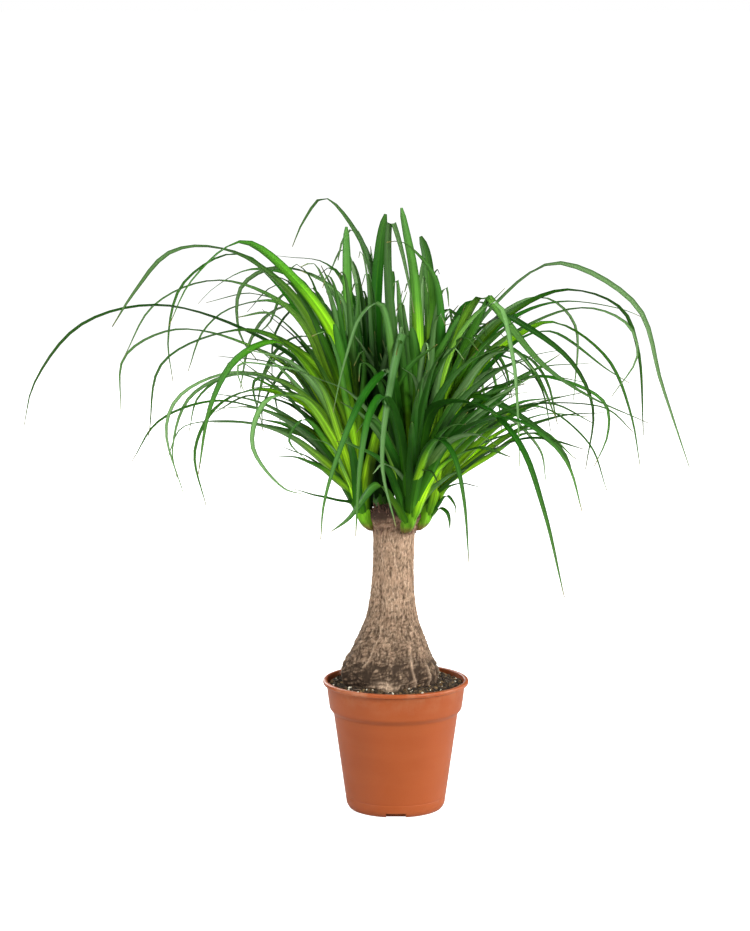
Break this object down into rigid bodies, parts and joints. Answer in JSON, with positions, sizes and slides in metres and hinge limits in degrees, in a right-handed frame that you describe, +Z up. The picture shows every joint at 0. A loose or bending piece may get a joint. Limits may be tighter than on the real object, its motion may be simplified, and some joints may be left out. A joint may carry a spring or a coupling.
{
  "type": "potted ponytail palm",
  "caption": "Potted ponytail palm with a swollen caudex, a bare bark trunk and leafy heads of long arching strap leaves, in a terracotta-coloured nursery pot.",
  "frame": {"origin": "centre of the pot's underside, on the surface that the pot stands on", "axes": "+Z up along the pot's axis, -Y towards the side that the picture shows, +X to the right as seen there"},
  "size_m": [0.6307, 0.4604, 0.5867],
  "materials": {
    "pot_plastic": "satin injection-moulded terracotta-coloured plastic",
    "potting_mix": "loose moist peat and composted bark with white perlite grains",
    "bark": "dry fissured grey-brown bark",
    "foliage": "satin green strap leaves, pale at the foot"
  },
  "bodies": {
    "root": {"pot": "pot_plastic", "soil": "potting_mix", "trunk": "bark", "head_left": "foliage", "head_front": "foliage", "head_right": "foliage", "head_back_right": "foliage", "head_back_left": "foliage"}
  },
  "joints": []
}
